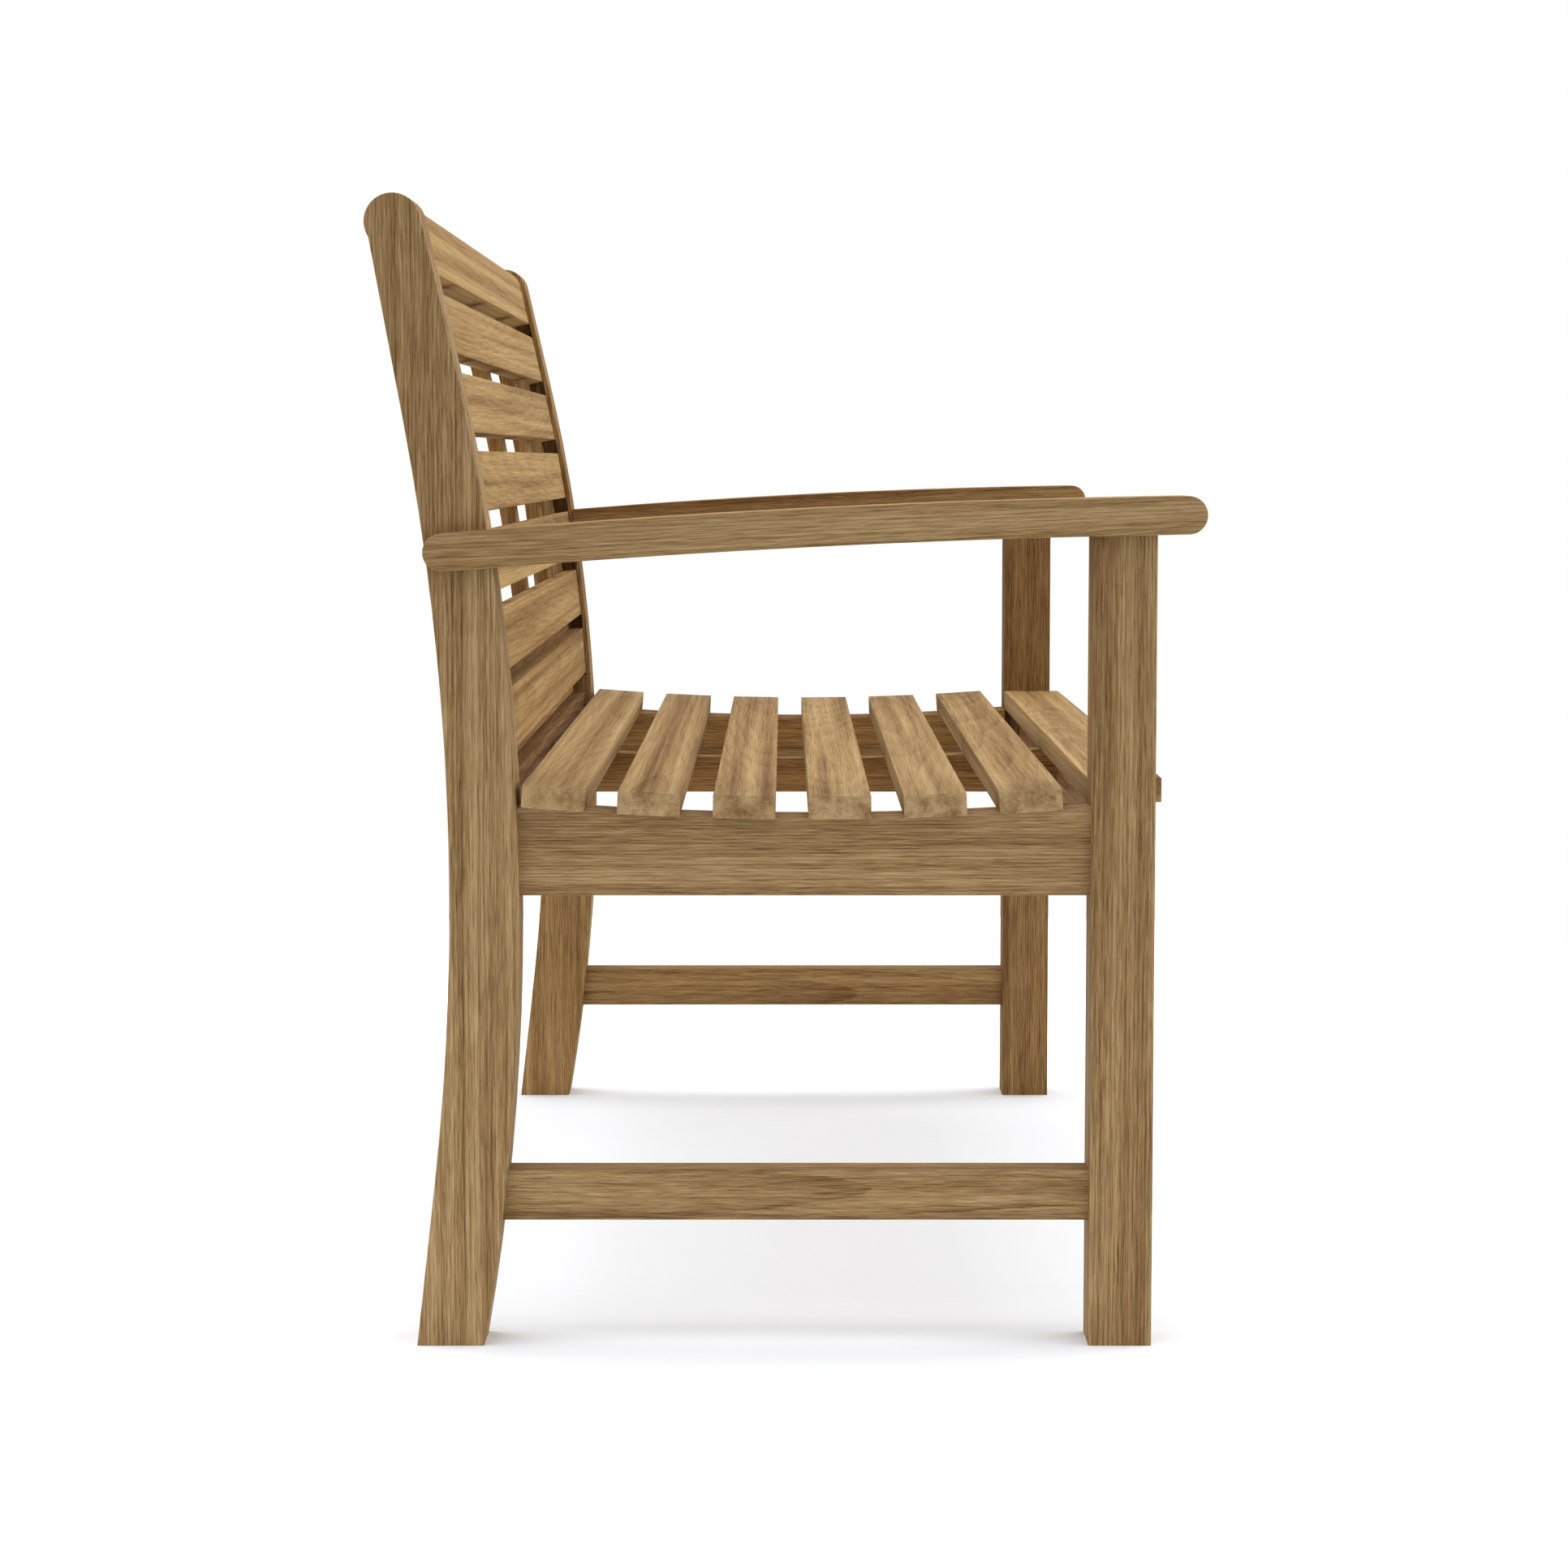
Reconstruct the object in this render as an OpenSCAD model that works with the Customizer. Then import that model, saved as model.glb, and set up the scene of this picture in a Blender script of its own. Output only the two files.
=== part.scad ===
// Garden bench: two armed side frames, a slatted seat dished from front to
// back, and a bowed back of horizontal slats screwed on from behind.
// Left and right are those of a person sitting on it. The origin is on the
// ground under the middle of the bench: +X is its left end, +Y its back.

/* [Overall] */
// Length over the outer faces of the legs
bench_length = 1220; // [1100:10:1500]
// Height of the tops of the back posts
bench_height = 910; // [890:1:930]
// From the front faces of the front legs to the bellies of the back posts
seat_run = 501.5; // [495:0.5:508]

/* [Legs and posts] */
// Side of the square front legs, and width of the back posts along X
leg_size = 50; // [46:1:60]
// Thickness of a back post, front to back, at its belly
post_depth = 55; // [52:0.5:60]
// Height of the belly, where the front of a post is upright
belly_z = 345; // [335:1:355]
// Bow radius of a post's front face
front_bow_r = 2000; // [1900:10:2200]
// Rise from the belly to where the front face runs on straight
front_bow_rise = 445; // [430:1:455]
// Height of the hollow, where the back of a post is upright
hollow_z = 365; // [355:1:375]
// Bow radius of a post's rear face
rear_bow_r = 2070; // [2000:10:2150]
// Drop from the hollow to where the rear face runs on straight
rear_bow_drop = 235; // [200:5:260]
// Rise from the hollow to where the rear face runs on straight
rear_bow_rise = 370; // [350:5:380]
// Radius of a post's rounded head
head_r = 22.2; // [21:0.1:23]
// Radius of the eased edges of straight boards
edge_r = 0.6; // [0.4:0.1:2]

/* [Side rails] */
// Thickness of the side seat rails and the stretchers
rail_t = 30; // [26:1:32]
// Height of the underside of all the seat rails
rail_z = 360; // [352:1:366]
// Height of the underside of a stretcher
stretcher_z = 99.7; // [80:0.1:140]
// Height of a stretcher's section
stretcher_h = 40.5; // [36:0.5:50]

/* [Armrests] */
// Width of an armrest
arm_w = 60; // [56:1:66]
// How far an armrest stands out past the outer face of its leg
arm_out = 10; // [6:0.5:14]
// Thickness of an armrest
arm_t = 30; // [28:0.5:32]
// How far an armrest's nose stands ahead of the front leg
arm_nose = 38; // [25:1:50]
// Radius to which an armrest is sawn
arm_bow_r = 8400; // [7000:100:12000]
// Distance ahead of the front leg at which an armrest's curve would be level
arm_crown = 151.5; // [140:0.5:160]
// Height of an armrest's centre line where its curve would be level
arm_crown_z = 661.2; // [655:0.1:668]

/* [Seat] */
// Height of the seat rails' tops at the lowest point of the dish
dish_z = 421.2; // [418:0.1:423]
// Distance of the dish's lowest point behind the front faces of the legs
dish_run = 271.5; // [268:0.5:275]
// Radius of the dish
dish_r = 2730; // [2600:10:3000]
// Width of a seat slat
seat_slat_w = 49.5; // [44:0.5:52]
// Thickness of a seat slat
seat_slat_t = 18.5; // [17:0.5:20]
// Spacing of the seat slats, centre to centre
seat_pitch = 75.5; // [75:0.1:75.8]
// Distance from the front of the legs to the centre of the foremost dished slat
seat_first = 97.4; // [96:0.1:98]
// Width of the level slat at the front
front_slat_w = 59.5; // [56:0.5:62]
// Height of the underside of the level front slat
front_slat_z = 430.5; // [430.5:0.1:434]
// Thickness of the level front slat
front_slat_t = 19.5; // [18:0.5:22]
// How far the front slat stands ahead of the legs
front_slat_nose = 9.5; // [6:0.5:12]
// Thickness of the front apron and the rear rail
apron_t = 24; // [20:1:26]
// Distance of the apron behind the front faces of the legs
apron_set = 10; // [8:0.5:12]
// Width of the middle bearer
bearer_w = 30; // [24:1:36]
// Width of the cleat along the inside of each side rail
cleat_w = 25; // [22:1:28]
// Height of the underside of the bearer and the cleats
bearer_z = 390; // [384:1:394]

/* [Back] */
// How far the back slats lie behind the front faces of the posts
back_set = 5; // [3:0.5:6]
// Thickness of a back slat
back_slat_t = 14.5; // [14:0.5:17]
// Height of a back slat along the bow
back_slat_h = 49; // [44:0.5:52]
// Spacing of the back slats along the bow
back_pitch = 64.5; // [64:0.1:65]
// Distance along the bow from the belly to the lowest slat's lower edge
back_first = 125.9; // [122:0.1:128]
// Thickness of the lower back rail and the battens
backing_t = 14; // [13:0.5:16]
// Thickness of the crest rail
crest_t = 35; // [33:0.5:36]
// How far the top of the crest rail lies below the tops of the posts
crest_drop = 3.5; // [2:0.5:6]
// Width of a batten
batten_w = 45; // [36:1:60]
// Distance of the outer battens from the middle of the bench
batten_x = 340; // [300:5:420]

/* [Joints and fixings] */
// Length of the tenons on the side rails and stretchers
side_tenon = 20; // [16:1:21]
// Length of the tenons on the long rails
long_tenon = 25; // [20:1:28]
// Depth of the grooves that hold the ends of the back slats
groove_d = 12; // [8:1:16]
// Clearance around tenons and in the grooves
fit = 0.2; // [0.1:0.05:0.3]
// Radius of the wooden pegs and dowels
peg_r = 4; // [3:0.5:5]
// Radius of a screw's shank
screw_r = 2.2; // [1.8:0.1:2.5]
// Radius of a screw's head
screw_head_r = 4; // [3.5:0.1:4.5]
// Length of a seat screw
seat_screw_l = 40; // [35:1:41]

/* [Hidden] */
$fn = 48;
LEFT = 1;
RIGHT = -1;
// Facets of the long bows, a length past any outline, and the gap that keeps
// two curved faces from crossing
bow_fn = 1440;
far = 500;
hair = 0.05;
// Numbers of dished seat slats, and of back slats below the crest rail
seat_slats = 6;
back_slats = 6;
teak = "#b8925f";
teak_light = "#c4a072";
teak_dark = "#a07c4e";
peg_wood = "#8a6238";
brass = "#b59a52";

// Across the bench
outer_x = bench_length / 2;
inner_x = outer_x - leg_size;
rail_x = outer_x - leg_size / 2;
cleat_x = rail_x - rail_t / 2 - cleat_w / 2;

// Bow of the back: its lean, its length and the head at its upper end
lean = asin(front_bow_rise / front_bow_r);
bow_length = front_bow_r * lean * PI / 180;
head_z = bench_height - head_r;
head_rise = (head_z - belly_z - (front_bow_r - head_r) * sin(lean)) / cos(lean);
head_set = front_bow_r - (front_bow_r - head_r) * cos(lean) + head_rise * sin(lean);

// Front to back
bench_depth = arm_nose + seat_run + head_set + head_r;
leg_y = arm_nose - bench_depth / 2;
leg_back_y = leg_y + leg_size;
belly_y = leg_y + seat_run;
apron_y = leg_y + apron_set;
rear_rail_set = 10;
rear_rail_y = belly_y + rear_rail_set;
dish_y = leg_y + dish_run;

// Backing plane behind the back slats, and the crest rail above them
backing_set = back_set + back_slat_t;
backing_back = backing_set + backing_t;
crest_back = back_set + crest_t;
crest_first = back_first + back_slats * back_pitch;
crest_r = crest_t / 2;
crest_rise = (bench_height - crest_drop - crest_r - belly_z
    - (front_bow_r - back_set - crest_r) * sin(lean)) / cos(lean);
lower_rail_below = 19.5;
lower_rail_above = 43;
lower_rail_first = back_first - lower_rail_below;
lower_rail_last = back_first + back_pitch + lower_rail_above;

// Armrests: centre of the bow, where the rounded ends are centred in Y, and the
// angle of the bow's circle at which one of its corners meets the rear end
arm_tail = 33;
arm_centre = [leg_y - arm_crown, arm_crown_z - arm_bow_r];
arm_nose_y = leg_y - arm_nose + arm_t / 2;
arm_tail_y = belly_y + bow_set(arm_crown_z) + arm_tail;
arm_turn = acos((arm_tail_y - arm_centre.x) / arm_bow_r);

// Gap between the dished rails and the front slat, and between the rear rail
// and the lower back rail that stands over it
rail_gap = 0.5;
rear_rail_t = 30;
rear_rail_top = bow_point(lower_rail_first, backing_back).y - rail_gap;

// Tenons of the side rails, the stretchers, the apron and the rear rail
tenon_t = 12;
thin_tenon_t = 10;
side_tenon_h = 40;
stretcher_tenon_h = 26;
long_tenon_h = 46;
tenon_root = 6;
tenon_rise = 31;
tenon_z = rail_z + tenon_rise;
stretcher_mid = stretcher_z + stretcher_h / 2;

// Tenons of the lower back rail: shorter, set in from its back and its edges
lower_tenon_l = long_tenon - 5;
lower_tenon_set = 1;
lower_tenon_edge = 20;

// Tenons of the crest rail: how far they lie behind the backing plane, and
// how far above its lower edge they start and end
crest_tenon_set = 4;
crest_tenon_low = 8;
crest_tenon_high = 40;

// Stub tenons of the legs and the battens, and how far a leg's reaches down
arm_stub = [22, 30, 15];
arm_stub_root = 12;
batten_tenon = [30, 6, 10];

// How far a back slat's groove starts below it, and the room at its bottom
groove_run = 2;
groove_slack = 1;

// A point on the bow, at a length along it from the belly and an inset behind
// the posts' front faces, as [y, z]
function bow_angle(along) = min(along / front_bow_r * 180 / PI, lean);
function bow_point(along, inset) =
    let (a = bow_angle(along), r = front_bow_r - inset)
    let (run = max(along - bow_length, 0))
    [belly_y + front_bow_r - r * cos(a) + run * sin(a), belly_z + r * sin(a) + run * cos(a)];

// How far the post's front face lies behind its belly at a height on the arc
function bow_set(z) = front_bow_r - sqrt(pow(front_bow_r, 2) - pow(z - belly_z, 2));

// Height of the dish at a distance from its lowest point
function dish_top(y) = dish_z + dish_r - sqrt(pow(dish_r, 2) - pow(y, 2));

// Centre of a dished slat, counted from the rear: its angle on the dish, the
// distance of its underside from the dish's centre, and its place in Y
function slat_run(i) = seat_first - dish_run + (seat_slats - 1 - i) * seat_pitch;
function slat_angle(i) = asin(slat_run(i) / dish_r);
slat_under_r = sqrt(pow(dish_r, 2) - pow(seat_slat_w / 2, 2));

// Pegs and dowels: wood left past a peg's tip, room at the end of a dowel, and
// how much thinner they are than their holes
peg_stop = 12;
dowel_room = 1;
peg_ease = 0.02;
arm_dowel_z = 634;
arm_dowel_l = 40;
slat_dowel_l = 25;
slat_dowel_xs = [-0.75, -0.25, 0.25, 0.75] * inner_x;

// Screws: height of the head and of the shank's blind end in it, cross recess,
// and a counterbore long enough to leave the wood
screw_head_h = screw_head_r - screw_r + 1;
shank_stop = 0.5;
screw_recess = [screw_head_r * 1.2, 1, 2.4];
counterbore_l = 16;

// Where the screws' tips lie: above the dish in a seat slat, behind a back
// slat's face, and past the middle of a side rail. A back screw's head is sunk
// in the batten, and the cleat screws lie behind the seat screws.
seat_screw_bite = 11;
back_screw_tip = 5;
back_screw_sink = 0.5;
back_screw_l = back_slat_t + backing_t - back_screw_tip - back_screw_sink;
cleat_screw_tip = 6;
cleat_screw_rise = 13;
cleat_screw_set = 13;
cleat_screw_l = rail_t / 2 + cleat_w + cleat_screw_tip;
cleat_screw_slats = [0, 1, 3, 4];
seat_screw_xs = [-cleat_x, 0, cleat_x];
back_screw_xs = [-batten_x, 0, batten_x];

// ---- Helpers ----

// Draws its children, made for the left side, on the side asked for
module on_side(side) {
    mirror([side == RIGHT ? 1 : 0, 0, 0]) children();
}

// Extrudes an outline drawn in the Y-Z plane from x0 to x1
module across(x0, x1) {
    translate([x0, 0, 0]) rotate([90, 0, 90]) linear_extrude(x1 - x0) children();
}

// A box from one corner to the opposite one
module block(low, high) {
    translate(low) cube(high - low);
}

// A rectangle about its centre with eased corners
module eased_rect(size) {
    square([size.x - 2 * edge_r, size.y], center = true);
    square([size.x, size.y - 2 * edge_r], center = true);
    for (x = [-1, 1], y = [-1, 1]) {
        translate([x * (size.x / 2 - edge_r), y * (size.y / 2 - edge_r)]) circle(edge_r);
    }
}

// Everything behind the bow at an inset from the posts' front faces (Y-Z)
module behind_bow(inset) {
    r = front_bow_r - inset;
    translate([belly_y + front_bow_r, belly_z]) {
        circle(r, $fn = bow_fn);
        rotate(-lean) translate([-r, 0]) square([r, far]);
    }
}

// Everything behind the rear face of a back post (Y-Z)
module behind_hollow() {
    translate([belly_y + post_depth + rear_bow_r, hollow_z]) {
        circle(rear_bow_r, $fn = bow_fn);
        rotate(-asin(rear_bow_rise / rear_bow_r)) translate([-rear_bow_r, 0]) square([rear_bow_r, far]);
        rotate(asin(rear_bow_drop / rear_bow_r)) translate([-rear_bow_r, -far]) square([rear_bow_r, far]);
    }
}

// Puts its children at a point on the bow, with their y axis along the bow
// and their x axis straight back from it (Y-Z)
module on_bow(along, inset) {
    translate(bow_point(along, inset)) rotate(-bow_angle(along)) children();
}

// The strip between two insets of the bow, from one length along it to
// another, its ends square to the bow (Y-Z)
module bow_strip(inset0, inset1, along0, along1) {
    intersection() {
        difference() {
            behind_bow(inset0);
            behind_bow(inset1);
        }
        on_bow(along0, inset0) translate([-far / 2, 0]) square([far, far]);
        on_bow(along1, inset0) translate([-far / 2, -far]) square([far, far]);
    }
}

// The disc of an armrest's bow (Y-Z)
module arm_disc(r) {
    translate(arm_centre) rotate(arm_turn) circle(r, $fn = 2 * bow_fn);
}

// The outline of an armrest (Y-Z)
module arm_outline() {
    intersection() {
        difference() {
            arm_disc(arm_bow_r + arm_t / 2);
            under_arm();
        }
        translate([arm_nose_y, 0]) square([arm_tail_y - arm_nose_y, bench_height]);
    }
    for (y = [arm_nose_y, arm_tail_y]) {
        rise = sqrt(pow(arm_bow_r, 2) - pow(y - arm_centre.x, 2));
        translate([y, arm_centre.y + rise]) circle(arm_t / 2);
    }
}

// Everything under an armrest, or lower by a gap (Y-Z)
module under_arm(gap = 0) {
    arm_disc(arm_bow_r - arm_t / 2 - gap);
}

// Everything under the dished tops of the seat rails (Y-Z)
module under_dish() {
    difference() {
        translate([leg_y, 0]) square([seat_run + post_depth, front_slat_z - rail_gap]);
        translate([dish_y, dish_z + dish_r]) circle(dish_r, $fn = bow_fn);
    }
}

// The outline of a rail between a front leg and a back post (Y-Z)
module side_span(z0, z1) {
    difference() {
        translate([leg_back_y, z0]) square([seat_run, z1 - z0]);
        behind_bow(0);
    }
}

// The tenons of a side rail or stretcher, for the left side
module side_tenons(z, h, grow) {
    front = leg_back_y - side_tenon - grow;
    back = belly_y + bow_set(z) + side_tenon + grow;
    half = [tenon_t / 2 + grow, 0, h / 2 + grow];
    for (y = [[front, leg_back_y + tenon_root], [belly_y - tenon_root, back]]) {
        block([rail_x - half.x, y[0], z - half.z], [rail_x + half.x, y[1], z + half.z]);
    }
}

// A tenon running out along X from the inner face of a left leg or post
module long_tenon(y, grow) {
    half = thin_tenon_t / 2 + grow;
    top = tenon_z + long_tenon_h / 2 + grow;
    bottom = tenon_z - long_tenon_h / 2 - grow;
    block([inner_x - tenon_root, y - half, bottom], [inner_x + long_tenon + grow, y + half, top]);
}

module apron_tenon(grow) {
    long_tenon(apron_y + apron_t / 2, grow);
}

module rear_rail_tenon(grow) {
    long_tenon(belly_y + post_depth / 2, grow);
}

module lower_rail_tenon(grow) {
    across(inner_x - tenon_root, inner_x + lower_tenon_l + grow) {
        bow_strip(backing_back - thin_tenon_t - grow, backing_back - lower_tenon_set + grow,
            lower_rail_first + lower_tenon_edge - grow, lower_rail_last - lower_tenon_edge + grow);
    }
}

module crest_tenon(grow) {
    set = backing_set + crest_tenon_set;
    across(inner_x - tenon_root, inner_x + long_tenon + grow) {
        bow_strip(set - grow, set + thin_tenon_t + grow,
            crest_first + crest_tenon_low - grow, crest_first + crest_tenon_high + grow);
    }
}

// Stub tenon of a front leg into its armrest
module arm_tenon(grow) {
    half = [arm_stub.x / 2 + grow, arm_stub.y / 2 + grow];
    y = leg_y + leg_size / 2;
    z = arm_crown_z - arm_t / 2;
    top = z + arm_stub.z + grow;
    block([rail_x - half.x, y - half.y, z - arm_stub_root], [rail_x + half.x, y + half.y, top]);
}

// Stub tenon at one end of a batten, standing up out of a point on the bow
module batten_stub(x, along, grow) {
    mid = backing_set + backing_t / 2;
    half = [batten_tenon.x / 2 + grow, batten_tenon.y / 2 + grow, batten_tenon.z + grow];
    across(x - half.x, x + half.x) on_bow(along, mid) {
        translate([-half.y, -half.z]) square([2 * half.y, 2 * half.z]);
    }
}

module batten_stubs(x, grow) {
    batten_stub(x, lower_rail_last, grow);
    batten_stub(x, crest_first, grow);
}

// Pegs through the side rails' tenons, driven in from the inner faces
module side_pegs(r) {
    for (y = [leg_back_y - side_tenon / 2, belly_y + bow_set(tenon_z) + side_tenon / 2]) {
        translate([inner_x, y, tenon_z]) rotate([0, 90, 0]) cylinder(r = r, h = leg_size - peg_stop);
    }
}

// Dowel between the shoulder of an armrest and its post
module arm_dowel(r, h) {
    y = belly_y + bow_set(arm_dowel_z);
    translate([rail_x, y, arm_dowel_z]) rotate([90, 0, 0]) cylinder(r = r, h = h, center = true);
}

// Dowels between the apron and the front slat
module apron_dowels(r, h) {
    for (x = slat_dowel_xs) {
        translate([x, apron_y + apron_t / 2, front_slat_z]) {
            cylinder(r = r, h = h, center = true);
        }
    }
}

// A countersunk screw standing on its tip, its head at z = length
module screw(length, grow) {
    cylinder(r = screw_r + grow, h = length - shank_stop);
    translate([0, 0, length - screw_head_h]) {
        cylinder(r1 = screw_r, r2 = screw_head_r + grow, h = screw_head_h);
    }
}

// A screw's shank and head with a cross recess
module crossed_screw(length) {
    difference() {
        screw(length, 0);
        for (a = [0, 90]) {
            rotate(a) translate([0, 0, length]) cube(screw_recess, center = true);
        }
    }
}

// A screw's hole, with a counterbore that runs on past the wood
module screw_hole(length) {
    screw(length, fit);
    translate([0, 0, length]) cylinder(r = screw_head_r + fit, h = counterbore_l);
}

// Places a seat screw, tip up, in each dished slat over one bearer or cleat
module at_seat_screws(x, slats = [0 : seat_slats - 1]) {
    for (i = slats) {
        run = slat_run(i);
        tip = dish_top(run) + seat_screw_bite;
        translate([x, dish_y + run, tip]) rotate([180, 0, 0]) children();
    }
}

// Places a back screw, tip forwards, at each of some lengths along the bow
module at_back_screws(xs, slats = [0 : back_slats - 1]) {
    for (x = xs, i = slats) {
        along = back_first + i * back_pitch + back_slat_h / 2;
        place = bow_point(along, back_set + back_screw_tip);
        translate([x, place.x, place.y]) rotate([-90 - bow_angle(along), 0, 0]) children();
    }
}

// Places the screws that hold a cleat to the left side rail, clear of the seat screws
module at_cleat_screws() {
    for (i = cleat_screw_slats) {
        y = dish_y + slat_run(i) + cleat_screw_set;
        place = [rail_x + cleat_screw_tip, y, bearer_z + cleat_screw_rise];
        translate(place) rotate([0, -90, 0]) children();
    }
}

// ---- Side frames ----

module back_post(side) {
    color(teak) on_side(side) difference() {
        across(inner_x, outer_x) {
            difference() {
                intersection() {
                    behind_bow(0);
                    translate([belly_y, 0]) square([post_depth + far / 4, bench_height]);
                    on_bow(bow_length + head_rise, head_r) {
                        translate([-far / 2, -2 * far]) square([far, 2 * far]);
                    }
                }
                behind_hollow();
            }
            translate(bow_point(bow_length + head_rise, head_r)) circle(head_r);
        }
        side_tenons(tenon_z, side_tenon_h, fit);
        side_tenons(stretcher_mid, stretcher_tenon_h, fit);
        rear_rail_tenon(fit);
        lower_rail_tenon(fit);
        crest_tenon(fit);
        across(inner_x - groove_slack, inner_x + groove_d) {
            bow_strip(back_set - fit, backing_set + fit, back_first - groove_run, crest_first);
        }
        side_pegs(peg_r);
        arm_dowel(peg_r, arm_dowel_l + dowel_room);
    }
}

module front_leg(side) {
    color(teak) on_side(side) difference() {
        union() {
            intersection() {
                translate([rail_x, leg_y + leg_size / 2, 0]) {
                    linear_extrude(arm_crown_z) eased_rect([leg_size, leg_size]);
                }
                across(inner_x, outer_x) intersection() {
                    under_arm(hair);
                    translate([leg_y, 0]) square([leg_size, arm_crown_z]);
                }
            }
            arm_tenon(0);
        }
        side_tenons(tenon_z, side_tenon_h, fit);
        side_tenons(stretcher_mid, stretcher_tenon_h, fit);
        apron_tenon(fit);
        side_pegs(peg_r);
    }
}

module armrest(side) {
    color(teak_light) on_side(side) difference() {
        union() {
            across(outer_x + arm_out - arm_w, outer_x + hair) difference() {
                arm_outline();
                behind_bow(-hair);
            }
            across(outer_x + hair, outer_x + arm_out) arm_outline();
        }
        arm_tenon(fit);
        arm_dowel(peg_r, arm_dowel_l + dowel_room);
    }
}

module side_rail(side) {
    color(teak) on_side(side) difference() {
        union() {
            across(rail_x - rail_t / 2, rail_x + rail_t / 2) intersection() {
                side_span(rail_z, front_slat_z);
                under_dish();
            }
            side_tenons(tenon_z, side_tenon_h, 0);
        }
        side_pegs(peg_r);
        at_cleat_screws() screw(cleat_screw_l, fit);
    }
}

module stretcher(side) {
    color(teak) on_side(side) {
        across(rail_x - rail_t / 2, rail_x + rail_t / 2) {
            side_span(stretcher_z, stretcher_z + stretcher_h);
        }
        side_tenons(stretcher_mid, stretcher_tenon_h, 0);
    }
}

// ---- Seat ----

module seat_cleat(side) {
    color(teak_dark) on_side(side) difference() {
        across(cleat_x - cleat_w / 2, cleat_x + cleat_w / 2) intersection() {
            side_span(bearer_z, front_slat_z);
            under_dish();
        }
        at_cleat_screws() screw_hole(cleat_screw_l);
        at_seat_screws(cleat_x) screw_hole(seat_screw_l);
    }
}

module seat_bearer() {
    color(teak_dark) difference() {
        across(-bearer_w / 2, bearer_w / 2) intersection() {
            under_dish();
            translate([apron_y + apron_t, bearer_z]) {
                square([rear_rail_y - apron_y - apron_t, front_slat_z - bearer_z]);
            }
        }
        at_seat_screws(0) screw_hole(seat_screw_l);
    }
}

module front_apron() {
    color(teak) difference() {
        union() {
            translate([0, apron_y + apron_t / 2, (rail_z + front_slat_z) / 2]) rotate([90, 0, 90]) {
                linear_extrude(2 * inner_x, center = true) eased_rect([apron_t, front_slat_z - rail_z]);
            }
            for (side = [LEFT, RIGHT]) on_side(side) apron_tenon(0);
        }
        apron_dowels(peg_r, slat_dowel_l + dowel_room);
    }
}

module rear_rail() {
    color(teak) {
        translate([0, rear_rail_y + rear_rail_t / 2, (rail_z + rear_rail_top) / 2]) rotate([90, 0, 90]) {
            linear_extrude(2 * inner_x, center = true) eased_rect([rear_rail_t, rear_rail_top - rail_z]);
        }
        for (side = [LEFT, RIGHT]) on_side(side) rear_rail_tenon(0);
    }
}

module seat_slat(i) {
    color(teak_light) difference() {
        translate([0, dish_y, dish_z + dish_r]) rotate([slat_angle(i), 0, 0]) {
            translate([0, 0, -slat_under_r + seat_slat_t / 2]) rotate([90, 0, 90]) {
                linear_extrude(bench_length, center = true) eased_rect([seat_slat_w, seat_slat_t]);
            }
        }
        for (x = seat_screw_xs) at_seat_screws(x, [i]) screw(seat_screw_l, fit);
    }
}

module front_slat() {
    mid = leg_y - front_slat_nose + front_slat_w / 2;
    color(teak_light) difference() {
        translate([0, mid, front_slat_z + front_slat_t / 2]) rotate([90, 0, 90]) {
            linear_extrude(2 * inner_x, center = true) eased_rect([front_slat_w, front_slat_t]);
        }
        apron_dowels(peg_r, slat_dowel_l + dowel_room);
    }
}

// ---- Back ----

module back_slat(i) {
    along = back_first + (i + 0.5) * back_pitch - (back_pitch - back_slat_h) / 2;
    color(teak_light) difference() {
        across(-inner_x - groove_d + groove_slack, inner_x + groove_d - groove_slack) {
            on_bow(along, back_set + back_slat_t / 2) eased_rect([back_slat_t, back_slat_h]);
        }
        at_back_screws(back_screw_xs, [i]) screw(back_screw_l, fit);
    }
}

module crest_rail() {
    color(teak) difference() {
        union() {
            across(-inner_x, inner_x) {
                bow_strip(back_set, crest_back, crest_first, bow_length + crest_rise);
                translate(bow_point(bow_length + crest_rise, back_set + crest_r)) circle(crest_r);
            }
            for (side = [LEFT, RIGHT]) on_side(side) crest_tenon(0);
        }
        for (x = back_screw_xs) batten_stub(x, crest_first, fit);
    }
}

module lower_back_rail() {
    color(teak) difference() {
        union() {
            across(-inner_x, inner_x) {
                bow_strip(backing_set + fit, backing_back, lower_rail_first, lower_rail_last);
            }
            for (side = [LEFT, RIGHT]) on_side(side) lower_rail_tenon(0);
        }
        for (x = back_screw_xs) batten_stub(x, lower_rail_last, fit);
        at_back_screws(back_screw_xs, [0, 1]) screw_hole(back_screw_l);
    }
}

module back_batten(x) {
    color(teak) difference() {
        union() {
            across(x - batten_w / 2, x + batten_w / 2) {
                bow_strip(backing_set + fit, backing_back, lower_rail_last, crest_first);
            }
            batten_stubs(x, 0);
        }
        at_back_screws([x], [2 : back_slats - 1]) screw_hole(back_screw_l);
    }
}

// ---- Fixings ----

module frame_pegs() {
    color(peg_wood) for (side = [LEFT, RIGHT]) on_side(side) side_pegs(peg_r - peg_ease);
}

module armrest_dowels() {
    color(peg_wood) for (side = [LEFT, RIGHT]) on_side(side) {
        arm_dowel(peg_r - peg_ease, arm_dowel_l);
    }
}

module front_slat_dowels() {
    color(peg_wood) apron_dowels(peg_r - peg_ease, slat_dowel_l);
}

module seat_screws() {
    color(brass) for (x = seat_screw_xs) at_seat_screws(x) crossed_screw(seat_screw_l);
}

module cleat_screws() {
    color(brass) for (side = [LEFT, RIGHT]) on_side(side) {
        at_cleat_screws() crossed_screw(cleat_screw_l);
    }
}

module back_slat_screws() {
    color(brass) at_back_screws(back_screw_xs) crossed_screw(back_screw_l);
}

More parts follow.
